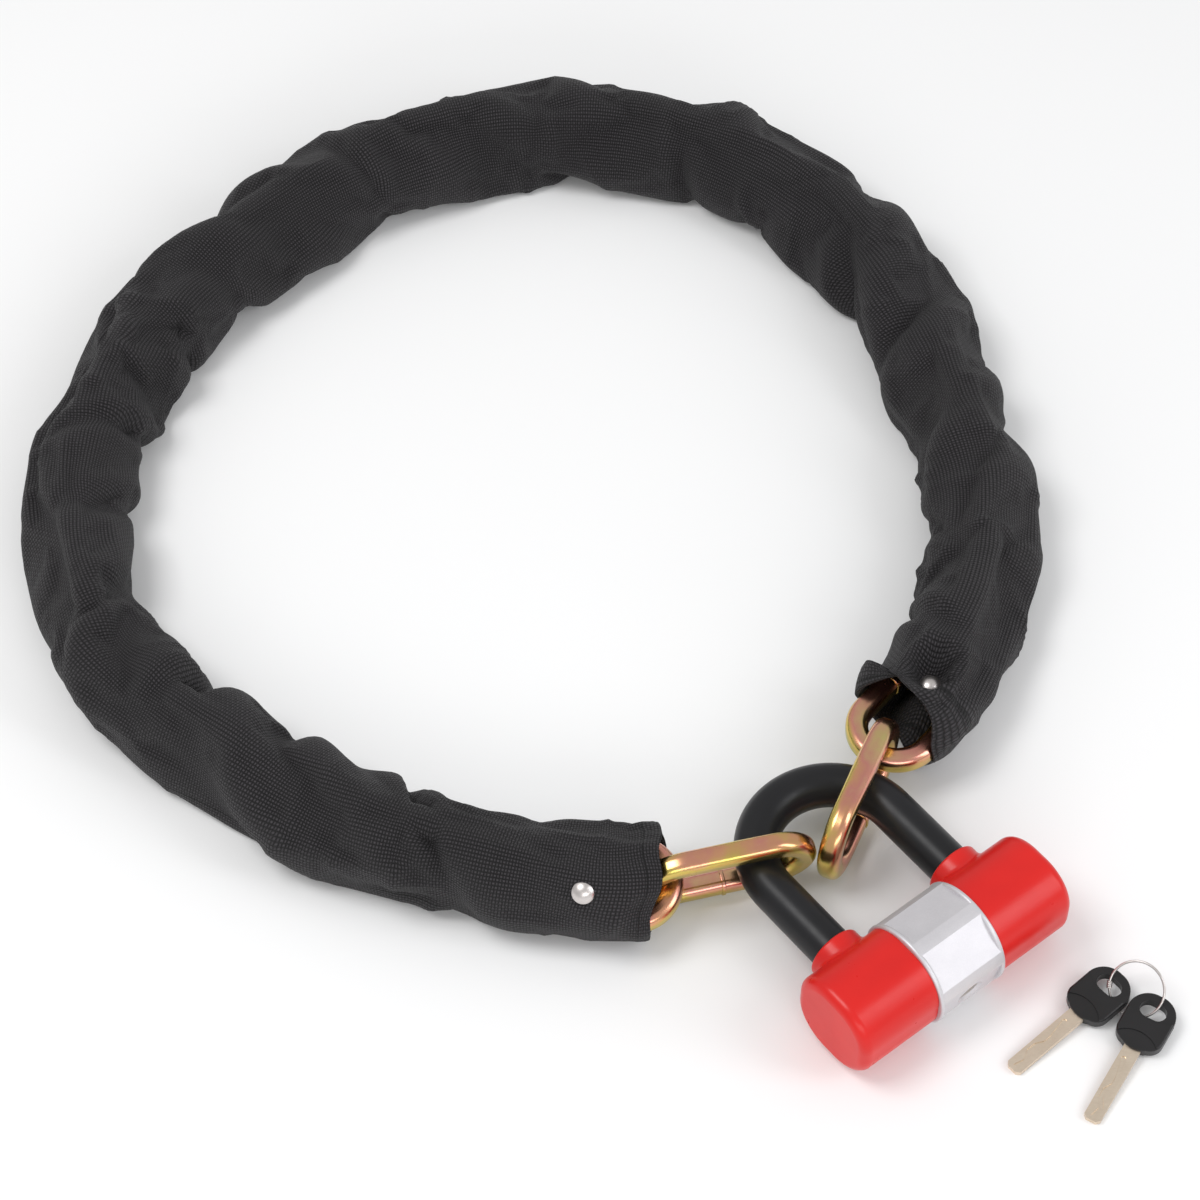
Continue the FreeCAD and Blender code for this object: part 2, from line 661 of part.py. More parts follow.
def make_ring():
    """Thin wire ring, with the tight coil that closes it."""
    ring = Part.makeTorus(RING_R, RING_WIRE_R)
    coils = []
    for i in range(4):
        coil = Part.makeTorus(RING_WIRE_R + 0.3, 0.36, Vector(), Y_AXIS)
        coil.translate(Vector(RING_R, 0, 0))
        coil.rotate(Vector(), Z_AXIS, 206.0 - 3.8 * i)
        coils.append(coil)
    ring = ring.fuse(coils)
    ring.rotate(Vector(), X_AXIS, RING_TILT)
    ring.rotate(Vector(), Z_AXIS, RING_TURN)
    ring.translate(RING_CENTRE)
    return ring


# ---- everything together

def build_lock():
    core, coat = make_shackle()
    body = make_bar_body()
    cover = make_cover()
    bolt = make_bolt()
    parts = {
        "shackle_core": core,
        "shackle_coating": coat,
        "bar_body": body,
        "bar_end_plugs": make_end_plugs(),
        "cover_right": cover,
        "cover_left": mirrored_in_bar(cover),
        "band": make_band(),
        "cylinder_housing": make_housing(),
        "cylinder_pin": retaining_pin(0.4),
        "plug": make_plug(),
        "plug_pins": make_plug_pins(),
        "cam": make_cam(),
        "bolt_right": bolt,
        "bolt_left": mirrored_in_bar(bolt),
    }
    return {name: in_lock_place(shape) for name, shape in parts.items()}


def build_chain():
    link = make_link()
    runs = lay_chain()
    parts = {}
    for run in runs:
        shapes = run_links(link, run)
        if run["name"] == "left_1":
            parts["second_link_left"] = shapes.pop(0)
        name = "second_link_right" if run["name"] == "right_1" else "chain_" + run["name"]
        parts[name] = Part.makeCompound(shapes)
    parts["end_link_left"] = end_link(link, JOIN_LEFT, LEFT_END_HEADING, LEFT_END_LEAN)
    parts["end_link_right"] = end_link(link, JOIN_RIGHT, RIGHT_END_HEADING, 0.0)
    sleeves = make_sleeves(runs)
    first = runs[0]["pivots"]
    last = runs[-1]["pivots"]
    rivets = [
        ("left", "left_1", first[0], first[1], LEFT_MOUTH, RIVET_INSET_LEFT, RIVET_TILT_LEFT, SLEEVE_OUTER_R),
        ("right", "right_1", last[-1], last[-2], RIGHT_MOUTH, RIVET_INSET_RIGHT, 0.0, PINCH_HEIGHT),
    ]
    for side, run_name, near, far, mouth_past, inset, tilt, outside in rivets:
        along = (far - near).normalize()
        mouth = near - along * mouth_past
        foot = mouth + along * inset
        heading = heading_of(along) + (180 if side == "left" else 0)
        cap, back = make_rivet(foot, heading, tilt, outside)
        cuts = [rivet_hole(foot, heading, tilt), rivet_seat(foot, heading, tilt, outside)]
        if outside < SLEEVE_OUTER_R:
            ends = [mouth, foot + along * (PINCH_MOUTH_R + 4.0)]
            sleeves[run_name] = pinched(sleeves[run_name], ends, foot, heading)
        sleeves[run_name] = sleeves[run_name].cut(cuts)
        parts["rivet_" + side] = cap
        parts["rivet_back_" + side] = back
    for name, sleeve in sleeves.items():
        parts["sleeve_" + name] = sleeve
    return parts


def build_keys():
    parts = {"key_ring": make_ring()}
    for i, place in enumerate(KEY_PLACES):
        head = head_shape()
        blade = blade_shape()
        tail = blade.copy()
        head = head.cut(tail)
        parts["key_%d_head" % (i + 1)] = in_key_place(head, place)
        parts["key_%d_blade" % (i + 1)] = in_key_place(blade, place)
    return parts


def centre_shift(shapes):
    """The move that puts the middle of the plan outline at the origin and the lowest point at z = 0."""
    low = [1e9, 1e9, 1e9]
    high = [-1e9, -1e9, -1e9]
    for shape in shapes:
        points, _ = shape.tessellate(0.02)
        for point in points:
            for i, value in enumerate((point.x, point.y, point.z)):
                low[i] = min(low[i], value)
                high[i] = max(high[i], value)
    return Vector(-(low[0] + high[0]) / 2, -(low[1] + high[1]) / 2, -low[2])


def main():
    os.makedirs("parts", exist_ok=True)
    parts = {}
    parts.update(build_lock())
    parts.update(build_chain())
    parts.update(build_keys())
    shift = centre_shift(parts.values())
    print("plan shift", shift)
    for name, shape in parts.items():
        shape.translate(shift)
        shape.exportStep("parts/" + name + ".step")
        print(name, "solids", len(shape.Solids), "valid", shape.isValid(), "volume", round(shape.Volume))


main()
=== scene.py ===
import json
import math

import bmesh
import bpy
import numpy as np
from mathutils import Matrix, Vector
from mathutils.bvhtree import BVHTree

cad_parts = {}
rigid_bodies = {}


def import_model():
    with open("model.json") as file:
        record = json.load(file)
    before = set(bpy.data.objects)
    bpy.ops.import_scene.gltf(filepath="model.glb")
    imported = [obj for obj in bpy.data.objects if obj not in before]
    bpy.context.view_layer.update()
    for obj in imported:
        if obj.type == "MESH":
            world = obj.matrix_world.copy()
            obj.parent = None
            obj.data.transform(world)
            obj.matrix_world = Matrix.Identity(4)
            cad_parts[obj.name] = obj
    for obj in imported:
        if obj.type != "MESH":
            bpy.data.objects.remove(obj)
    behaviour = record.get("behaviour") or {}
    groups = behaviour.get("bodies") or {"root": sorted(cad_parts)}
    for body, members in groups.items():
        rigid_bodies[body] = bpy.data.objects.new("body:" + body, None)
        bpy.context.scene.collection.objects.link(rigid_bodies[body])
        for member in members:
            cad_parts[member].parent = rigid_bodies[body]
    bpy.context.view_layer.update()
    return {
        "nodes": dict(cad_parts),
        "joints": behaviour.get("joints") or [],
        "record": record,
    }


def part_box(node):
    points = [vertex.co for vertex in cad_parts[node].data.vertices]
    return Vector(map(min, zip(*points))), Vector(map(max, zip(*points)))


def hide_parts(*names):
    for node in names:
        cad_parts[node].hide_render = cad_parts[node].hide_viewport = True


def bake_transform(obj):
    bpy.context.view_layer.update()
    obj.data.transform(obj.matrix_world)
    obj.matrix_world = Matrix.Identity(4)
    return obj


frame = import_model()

# All lengths are in metres, and angles in radians unless a name or comment says degrees.

# ---- sleeve, as cut and sewn
CLOTH_ROUND = 0.136        # round the tube
SLACK = 1.16               # cut length against the length of the path it covers
HALF_THICK = 0.00055
HEM = 0.009
HEM_EXTRA = 0.7            # how much thicker the folded hem is, as a share
HEM_STEP = 0.0012          # over which the hem's thickness grows
RIM_SHARE = 0.55           # thickness left at the very edge, as a share
SEAM_AT = 205.0            # degrees round the tube from the loop's inner side
STITCH_LINE = 0.007        # from the mouth's edge
STITCH_PITCH = 0.0032
GROOVE_HALF = 0.0005
WEAVE_PITCH = 0.00136

# ---- sleeve, as it lies
AROUND = 40                # cloth points round the tube
ALONG_STEP = 0.0037        # between rings of cloth points
START_R = 0.0224           # the tube's radius before it settles
START_FLOOR = 0.0014       # the start shape stays this far above the floor
START_ROOM = 0.0012        # and this far outside the links
SETTLED_ROOM = 0.0003      # between the settled cloth's inner face and a link
FLOOR_ROOM = 0.0002        # between the settled cloth's outer face and the floor
OUTLINE_REACH = 0.032      # the links' outline is looked for this far from the path
LIFT_REACH = 0.006         # a settled point nearer to a link's surface than this is looked at
MOUTH_R = 0.0208
MOUTH_PAST_LEFT = 0.0262   # from the middle of the first covered link
MOUTH_PAST_RIGHT = 0.0090
MOUTH_ASIDE_LEFT = 0.0030  # and towards the inside of the loop
MOUTH_ASIDE_RIGHT = 0.0025
LEAD_LEFT = 0.0030         # a mouth's inner side runs on this far, and its outer side stops short
LEAD_RIGHT = 0.0100
MOUTH_FADE = 0.045         # over which a mouth's own shape goes over into the tube's
MOUTH_DENTS = ((3, 0.0009, 0.7), (5, 0.0006, 0.0))   # waves round the tube: how many, height, phase
MOUTH_SWAY = ((2, 0.0016, 0.5), (5, 0.0009, 0.0))    # the same, but along the tube
BLEND_REACH = 0.018        # rows this far to either side of a hinge are looked up, but nothing uses them

# ---- rivets
CAP_R = 0.0044
SLEEVE_R = 0.0212          # the CAD sleeve's radius, where the left rivet sits
PINCH_HEIGHT = 0.006       # the right rivet holds the cloth this far from the chain's plane
BACK_INSET = 0.0005        # the middle of a rivet's back is this much nearer the chain than those two say
CAP_SEAT = 0.0006          # the cloth under the cap is held this much nearer the chain than they say
BACK_SEAT = 0.0016         # and the cloth on the back this much nearer
DIMPLE_R = 0.03            # the cloth is drawn in within this distance of a rivet
DIMPLE_SLOPE = 1.6         # how steeply it rises from the edge of the cap
HELD_SHARE = 0.85          # of the cap's radius, within which the cloth is held
HELD_TOWARDS = 45.0        # degrees: the left mouth's rim is held round this direction,
HELD_COSINE = 0.1          # as far as the cosine of the angle from it is more than this

# ---- folds that the simulation starts from
FOLD_FIRST = 0.05          # from the left mouth
FOLD_STOP = 0.03           # before the right mouth
FOLD_GAPS = (0.038, 0.085)
FOLD_WIDTHS = (0.004, 0.008)
FOLD_DEPTHS = (0.005, 0.011)
FOLD_PLACES = (-0.6, 1.4)  # angles round the tube from the loop's inner side
FOLD_SPAN = 1.2            # the angle over which a fold fades
FOLD_SKEW = 0.014          # how far along the tube a fold runs per radian round it, at most
WAVES = 10
WAVE_LENGTHS = (0.035, 0.10)
WAVE_HEIGHT = 0.0006

# ---- small creases added to the settled cloth
CREASES = 150
CREASE_FROM_MOUTH = 0.012
CREASE_TURN = 0.55         # spread of their directions
CREASE_BEND = 9.0          # how strongly they curve, at most
CREASE_LENGTHS = (0.010, 0.022)
CREASE_WIDTHS = (0.0021, 0.0034)
CREASE_HEIGHTS = (0.0007, 0.0018)
CREASE_LIMIT = 0.0026      # where creases cross

# ---- simulation
SIM_SCALE = 10.0           # the cloth settles on a copy of the chain this much larger
SIM_FRAMES = 34
SIM_FLOOR = 6.0            # half the side of the floor, at that scale
COLLIDER_FACES = 900       # a node's copy keeps this many faces, or the share below if that is more
COLLIDER_SHARE = 0.1
COLLIDER_GAP = 0.004       # both gaps at the simulation's scale
CLOTH_GAP = 0.008
FRICTION = 12.0
CLOTH = {
    "quality": 5, "mass": 0.15, "air_damping": 2.0,
    "tension_stiffness": 40, "compression_stiffness": 40, "shear_stiffness": 10, "bending_stiffness": 0.4,
    "tension_damping": 4, "compression_damping": 4, "shear_damping": 4, "bending_damping": 0.5,
}

# ---- the chain's runs, from the left mouth round to the right one
RUNS = ["left_1", "left_2", "left_3", "top", "right_3", "right_2", "right_1"]
RUN_NODES = [
    ["second_link_left", "chain_left_1"], ["chain_left_2"], ["chain_left_3"], ["chain_top"],
    ["chain_right_3"], ["chain_right_2"], ["second_link_right"],
]
LINK_NODES = sum(RUN_NODES, []) + ["end_link_left", "end_link_right"]
LEVEL_LINK = 5             # this link, counted from 0 at the left mouth, gives the height of the path
CURVE_STEPS = 60           # points between two links when the path is drawn

# ---- camera, as the photograph was taken
LOOK_AT = Vector((0.0110, -0.0160, 0.0))
LOOK_FROM = Vector((0.0110, -0.8622, 1.1229))
FIELD_OF_VIEW = 20.0       # degrees
FILM_WIDTH = 36.0          # millimetres
STAGE_FLOOR = 6.0          # half the side of the floor


# ---------------------------------------------------------------- links and path

def merged_copy(node):
    """A throwaway copy of a CAD node's mesh with its face corners joined."""
    shape = bmesh.new()
    shape.from_mesh(frame["nodes"][node].data)
    bmesh.ops.remove_doubles(shape, verts=shape.verts, dist=1e-6)
    return shape


def islands(shape):
    """The separate links in a merged mesh, each as an array of its points."""
    seen = set()
    found = []
    for first in shape.verts:
        if first.index in seen:
            continue
        seen.add(first.index)
        queue = [first]
        points = []
        while queue:
            vert = queue.pop()
            points.append(vert.co[:])
            for edge in vert.link_edges:
                other = edge.other_vert(vert)
                if other.index not in seen:
                    seen.add(other.index)
                    queue.append(other)
        found.append(np.array(points))
    return found


def link_line(points):
    """A link's middle and the level direction of its long side."""
    middle = (points.min(axis=0) + points.max(axis=0)) / 2
    spread = np.cov((points[:, :2] - middle[:2]).T)
    values, vectors = np.linalg.eigh(spread)
    along = np.array([*vectors[:, np.argmax(values)], 0.0])
    return middle, along


def chain_order():
    """Middle and direction of each covered link, from the left mouth round to the right one."""
    ordered = []
    for nodes in RUN_NODES:
        for node in nodes:
            shape = merged_copy(node)
            shape.verts.index_update()
            lines = [link_line(points) for points in islands(shape)]
            shape.free()
            while lines:
                if ordered:
                    last = ordered[-1][0]
                    lines.sort(key=lambda line: np.linalg.norm(line[0] - last))
                ordered.append(lines.pop(0))
    return ordered


def smooth_path(points, step):
    """Evenly spaced points on a curve through the given ones, and the curve's length."""
    points = np.array(points)
    padded = np.vstack([2 * points[0] - points[1], points, 2 * points[-1] - points[-2]])
    fine = []
    for i in range(len(points) - 1):
        a, b, c, d = padded[i:i + 4]
        t = np.linspace(0, 1, CURVE_STEPS, endpoint=False)[:, None]
        fine.append(0.5 * (2 * b + (c - a) * t + (2 * a - 5 * b + 4 * c - d) * t ** 2
                           + (3 * b - a - 3 * c + d) * t ** 3))
    fine = np.vstack([*fine, points[-1:]])
    run = np.concatenate([[0], np.cumsum(np.linalg.norm(np.diff(fine, axis=0), axis=1))])
    count = int(round(run[-1] / step)) + 1
    even = np.linspace(0, run[-1], count)
    return np.stack([np.interp(even, run, fine[:, k]) for k in range(3)], axis=1), run[-1]


def sleeve_path():
    """The level line that the sleeve follows from mouth to mouth, and its length."""
    links = chain_order()
    first, last = links[0], links[-1]
    out_left = first[1] * np.sign(np.dot(first[1], first[0] - links[1][0]))
    out_right = last[1] * np.sign(np.dot(last[1], last[0] - links[-2][0]))
    aside_left = np.array([-out_left[1], out_left[0], 0.0])
    aside_right = np.array([out_right[1], -out_right[0], 0.0])
    points = [first[0] + out_left * MOUTH_PAST_LEFT + aside_left * MOUTH_ASIDE_LEFT]
    points += [link[0] for link in links]
    points += [last[0] + out_right * MOUTH_PAST_RIGHT + aside_right * MOUTH_ASIDE_RIGHT]
    level = links[LEVEL_LINK][0][2]
    for point in points:
        point[2] = level
    return smooth_path(points, ALONG_STEP)


# ---------------------------------------------------------------- cloth

def bunching(rows, angles):
    """The first hint of folds: creases across the inner side every link or so, and soft waves between."""
    chance = np.random.default_rng(11)
    run = np.arange(rows) * ALONG_STEP
    change = np.zeros((rows, len(angles)))
    place = FOLD_FIRST
    while place < run[-1] - FOLD_STOP:
        centre = chance.uniform(*FOLD_PLACES)
        skew = chance.uniform(-FOLD_SKEW, FOLD_SKEW)
        width = chance.uniform(*FOLD_WIDTHS)
        turn = np.angle(np.exp(1j * (angles - centre)))
        across = np.exp(-((run[:, None] - place - skew * turn[None, :]) / width) ** 2)
        round_it = np.exp(-(turn / FOLD_SPAN) ** 2)[None, :]
        change -= chance.uniform(*FOLD_DEPTHS) * across * round_it
        place += chance.uniform(*FOLD_GAPS)
    for _ in range(WAVES):
        length = chance.uniform(*WAVE_LENGTHS)
        times = chance.integers(1, 4)
        phase = chance.uniform(0, 2 * math.pi)
        wave = np.sin(2 * math.pi * run[:, None] / length + times * angles[None, :] + phase)
        change += WAVE_HEIGHT * wave
    return change


def tube_angles():
    """Angle of each cloth point round the tube, from the inside of the loop over the top."""
    return math.radians(SEAM_AT) - np.linspace(0, 2 * math.pi, AROUND, endpoint=False)


def waves(angles, parts):
    return sum(height * np.sin(times * angles + phase) for times, height, phase in parts)


def link_surfaces():
    """One search tree over the surfaces of all the links in and beside the sleeve."""
    whole = bmesh.new()
    for node in LINK_NODES:
        whole.from_mesh(frame["nodes"][node].data)
    tree = BVHTree.FromBMesh(whole)
    whole.free()
    return tree


def outside_links(tree, points, path, room):
    """The start shape with every point that is inside the outline of the links moved out past it."""
    for row, centre in zip(points, path):
        middle = Vector(centre)
        for i, point in enumerate(row):
            outward = Vector(point - centre).normalized()
            hit = tree.ray_cast(middle + outward * OUTLINE_REACH, -outward, OUTLINE_REACH)[0]
            if hit is None:
                continue
            needed = (hit - middle).length + room
            if needed > np.linalg.norm(point - centre):
                row[i] = centre + np.array(outward) * needed
    return points


def lifted_off_links(tree, points, room):
    """The settled cloth with any point that is in a link, or too close to one, moved to its surface."""
    flat = points.reshape(-1, 3)
    for i, point in enumerate(flat):
        place, normal = tree.find_nearest(Vector(point), LIFT_REACH)[:2]
        if place is None:
            continue
        height = (Vector(point) - place).dot(normal)
        if height < room:
            flat[i] = place + normal * room
    return flat.reshape(points.shape)


def tube_points(path, tree):
    """Start shape of the sleeve: a round tube on the path, clear of the links and the floor."""
    ahead = np.gradient(path, axis=0)
    ahead /= np.linalg.norm(ahead, axis=1)[:, None]
    side = np.stack([ahead[:, 1], -ahead[:, 0], np.zeros(len(path))], axis=1)
    angles = tube_angles()
    up = np.array([0.0, 0.0, 1.0])
    round_part = np.cos(angles)[None, :, None] * side[:, None, :] + np.sin(angles)[None, :, None] * up
    run = np.arange(len(path)) * ALONG_STEP
    near_left = np.clip(1 - run / MOUTH_FADE, 0, 1)
    near_right = near_left[::-1]
    near = np.maximum(near_left, near_right)[:, None]
    mouth = MOUTH_R + waves(angles, MOUTH_DENTS)
    radius = (START_R + bunching(len(path), angles)) * (1 - near) + mouth * near
    points = path[:, None, :] + radius[..., None] * round_part
    lead = (LEAD_RIGHT * near_right - LEAD_LEFT * near_left)[:, None] * np.cos(angles)[None, :]
    lead += near * waves(angles, MOUTH_SWAY)
    points += lead[..., None] * ahead[:, None, :]
    points[..., 2] = np.maximum(points[..., 2], START_FLOOR)
    return outside_links(tree, points, path, START_ROOM)


def rivet_line(side, outside):
    """The middle of a rivet on the chain's line, and the direction its cap faces."""
    back = sum((Vector(corner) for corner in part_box("rivet_back_" + side)), Vector()) / 2
    whole = sum((Vector(corner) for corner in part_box("rivet_" + side)), Vector()) / 2
    facing = (whole - back).normalized()
    return np.array(back + facing * (outside - BACK_INSET)), np.array(facing)


def hold_at_rivets(points):
    """Draws the start shape in at the rivets, and says which cloth points the rivets and hems hold."""
    held = np.zeros(points.shape[:2], bool)
    inner_and_top = np.cos(tube_angles() - math.radians(HELD_TOWARDS)) > HELD_COSINE
    held[0] = inner_and_top
    held[-1] = True
    for side, outside in (("left", SLEEVE_R), ("right", PINCH_HEIGHT)):
        middle, facing = rivet_line(side, outside)
        offset = points - middle
        height = offset @ facing
        spread = np.linalg.norm(offset - height[..., None] * facing, axis=2)
        for sign, seat in ((1, outside - CAP_SEAT), (-1, outside - BACK_SEAT)):
            near = (height * sign > 0) & (spread < DIMPLE_R)
            limit = seat + np.maximum(spread - CAP_R, 0) * DIMPLE_SLOPE
            over = near & (height * sign > limit)
            points[over] += ((limit - height * sign) * sign)[over][:, None] * facing
            held |= near & (spread < CAP_R * HELD_SHARE)
    return held


def grid_mesh(name, points):
    """A single-layer tube of the cloth points, open at both ends."""
    rows, columns = points.shape[:2]
    faces = []
    for j in range(rows - 1):
        for i in range(columns):
            k = (i + 1) % columns
            faces.append((j * columns + i, j * columns + k, (j + 1) * columns + k, (j + 1) * columns + i))
    mesh = bpy.data.meshes.new(name)
    mesh.from_pydata(points.reshape(-1, 3).tolist(), [], faces)
    return mesh


def add_object(name, data):
    made = bpy.data.objects.new(name, data)
    bpy.context.scene.collection.objects.link(made)
    return made


def square_mesh(name, half_side):
    mesh = bpy.data.meshes.new(name)
    corners = [(x * half_side, y * half_side, 0) for x, y in ((-1, -1), (1, -1), (1, 1), (-1, 1))]
    mesh.from_pydata(corners, [], [(0, 1, 2, 3)])
    return mesh


def make_colliders():
    """Light copies of the links at the simulation's scale, and a floor."""
    made = []
    for node in LINK_NODES:
        shape = merged_copy(node)
        bmesh.ops.scale(shape, vec=(SIM_SCALE,) * 3, verts=shape.verts)
        mesh = bpy.data.meshes.new("sim_" + node)
        shape.to_mesh(mesh)
        shape.free()
        solid = add_object("sim_" + node, mesh)
        fewer = solid.modifiers.new("fewer", "DECIMATE")
        fewer.ratio = min(1.0, max(COLLIDER_FACES / len(mesh.polygons), COLLIDER_SHARE))
        made.append(solid)
    made.append(add_object("sim_floor", square_mesh("sim_floor", SIM_FLOOR)))
    for solid in made:
        solid.modifiers.new("hit", "COLLISION")
        solid.collision.thickness_outer = COLLIDER_GAP
        solid.collision.cloth_friction = FRICTION
    return made


def as_cut(points, length):
    """Where the cloth points are on the tube as cut: straight, evenly round, and longer than its path."""
    rows, columns = points.shape[:2]
    radius = CLOTH_ROUND / (2 * math.pi)
    turn = np.linspace(0, 2 * math.pi, columns, endpoint=False)
    flat = np.zeros_like(points)
    flat[..., 0] = np.linspace(0, length * SLACK, rows)[:, None]
    flat[..., 1] = (radius * np.cos(turn))[None, :]
    flat[..., 2] = (radius * np.sin(turn))[None, :]
    return flat


def make_cloth(points, length):
    """The tube at the simulation's scale, as a cloth that wants to have its cut size."""
    held = hold_at_rivets(points)
    cloth = add_object("sim_sleeve", grid_mesh("sim_sleeve", points * SIM_SCALE))
    cloth.shape_key_add(name="start")
    cut = cloth.shape_key_add(name="cut")
    cut.data.foreach_set("co", (as_cut(points, length) * SIM_SCALE).astype(np.float32).ravel())
    cut.value = 0.0
    group = cloth.vertex_groups.new(name="held")
    group.add([int(i) for i in np.flatnonzero(held.ravel())], 1.0, "REPLACE")
    modifier = cloth.modifiers.new("cloth", "CLOTH")
    for name, value in CLOTH.items():
        setattr(modifier.settings, name, value)
    modifier.settings.vertex_group_mass = "held"
    modifier.settings.pin_stiffness = 1.0
    modifier.settings.rest_shape_key = cut
    modifier.collision_settings.collision_quality = 2
    modifier.collision_settings.distance_min = CLOTH_GAP
    modifier.collision_settings.use_self_collision = False
    modifier.point_cache.frame_start = 1
    modifier.point_cache.frame_end = SIM_FRAMES
    return cloth


def settle(points, length):
    """Lets the tube of cloth drop and bunch on the links, and returns where its points end up."""
    cloth = make_cloth(points, length)
    colliders = make_colliders()
    scene = bpy.context.scene
    frames = SIM_FRAMES
    for number in range(1, frames + 1):
        scene.frame_set(number)
    settled = cloth.evaluated_get(bpy.context.evaluated_depsgraph_get())
    result = np.empty(points.size, np.float32)
    settled.data.vertices.foreach_get("co", result)
    scene.frame_set(1)
    for thing in [cloth, *colliders]:
        used = thing.data
        bpy.data.objects.remove(thing)
        bpy.data.meshes.remove(used)
    return result.reshape(points.shape).astype(float) / SIM_SCALE


def refined(points):
    """Twice as many cloth points each way, on a smooth curve through the old ones."""
    rows, columns = points.shape[:2]
    before, after = np.roll(points, 1, axis=1), np.roll(points, -1, axis=1)
    beyond = np.roll(points, -2, axis=1)
    middle = (9 * (points + after) - before - beyond) / 16
    wide = np.empty((rows, columns * 2, 3))
    wide[:, 0::2], wide[:, 1::2] = points, middle
    ends = np.vstack([2 * wide[:1] - wide[1:2], wide, 2 * wide[-1:] - wide[-2:-1]])
    between = (9 * (ends[1:-2] + ends[2:-1]) - ends[:-3] - ends[3:]) / 16
    tall = np.empty((rows * 2 - 1, columns * 2, 3))
    tall[0::2], tall[1::2] = wide, between
    return tall


def surface_normals(points):
    """Unit normals of the tube at its cloth points, facing outwards."""
    around = np.roll(points, -1, axis=1) - np.roll(points, 1, axis=1)
    along = np.gradient(points, axis=0)
    normals = np.cross(around, along)
    return normals / (np.linalg.norm(normals, axis=2)[..., None] + 1e-12)


def shell_mesh(name, points, normals, half, v_first, v_step, u_size):
    """A closed two-layer length of sleeve; its rims match its neighbours' point for point."""
    rows, columns = points.shape[:2]
    outer = points + normals * half[:, None, None]
    inner = points - normals * half[:, None, None]
    verts = np.concatenate([outer.reshape(-1, 3), inner.reshape(-1, 3)])
    count = rows * columns
    faces = []
    coords = []
    directions = []
    flat_normals = normals.reshape(-1, 3)

    def add(corners, uv, signs):
        faces.append(corners)
        coords.extend(uv)
        directions.extend(flat_normals[c % count] * s for c, s in zip(corners, signs))

    for j in range(rows - 1):
        for i in range(columns):
            k = (i + 1) % columns
            a, b = j * columns + i, j * columns + k
            c, d = b + columns, a + columns
            v0, v1 = v_first + j * v_step, v_first + (j + 1) * v_step
            u0, u1 = i * u_size, (i + 1) * u_size
            add((a, b, c, d), [(u0, v0), (u1, v0), (u1, v1), (u0, v1)], (1, 1, 1, 1))
            add((d + count, c + count, b + count, a + count),
                [(u0, v1), (u1, v1), (u1, v0), (u0, v0)], (-1, -1, -1, -1))
    for j in (0, rows - 1):
        for i in range(columns):
            k = (i + 1) % columns
            a, b = j * columns + i, j * columns + k
            corners = (b, a, a + count, b + count) if j == 0 else (a, b, b + count, a + count)
            v = v_first + j * v_step
            add(corners, [(i * u_size, v)] * 4, (1, 1, -1, -1))
    mesh = bpy.data.meshes.new(name)
    mesh.from_pydata(verts.tolist(), [], faces)
    layer = mesh.uv_layers.new(name="cloth")
    layer.data.foreach_set("uv", np.array(coords, np.float32).ravel())
    mesh.normals_split_custom_set([tuple(d) for d in directions])
    return mesh


def small_creases(rows, columns):
    """How far the cloth stands out on short, sharp creases that the simulation is too coarse for."""
    chance = np.random.default_rng(4)
    run = (np.arange(rows) * ALONG_STEP / 2)[:, None]
    turn = (np.arange(columns) / columns * CLOTH_ROUND)[None, :]
    out = np.zeros((rows, columns))
    for _ in range(CREASES):
        along = run - chance.uniform(CREASE_FROM_MOUTH, run[-1, 0] - CREASE_FROM_MOUTH)
        across = turn - chance.uniform(0, CLOTH_ROUND)
        across -= CLOTH_ROUND * np.round(across / CLOTH_ROUND)
        heading = chance.normal(0, CREASE_TURN)
        lengthwise = across * math.cos(heading) + along * math.sin(heading)
        crosswise = along * math.cos(heading) - across * math.sin(heading)
        crosswise = crosswise + CREASE_BEND * chance.uniform(-1, 1) * lengthwise ** 2
        size = np.exp(-(lengthwise / chance.uniform(*CREASE_LENGTHS)) ** 2)
        sharp = np.exp(-np.abs(crosswise / chance.uniform(*CREASE_WIDTHS)) ** 1.5)
        out += chance.uniform(*CREASE_HEIGHTS) * size * sharp
    return np.minimum(out, CREASE_LIMIT)


def half_thickness(distance):
    """Half the cloth's thickness at each ring, thicker at the hems and thin at the two edges."""
    from_end = np.minimum(distance, distance[-1] - distance)
    half = HALF_THICK * (1 + HEM_EXTRA * np.clip((HEM - from_end) / HEM_STEP, 0, 1))
    half[[0, -1]] *= RIM_SHARE
    return half


def hinge_places():
    """Where each run of links is hinged to the next one."""
    places = []
    for before, after in zip(RUNS, RUNS[1:]):
        joint = next(j for j in frame["joints"] if j["parent"] == before and j["child"] == after)
        places.append(np.array(joint["pos_m"]))
    return places


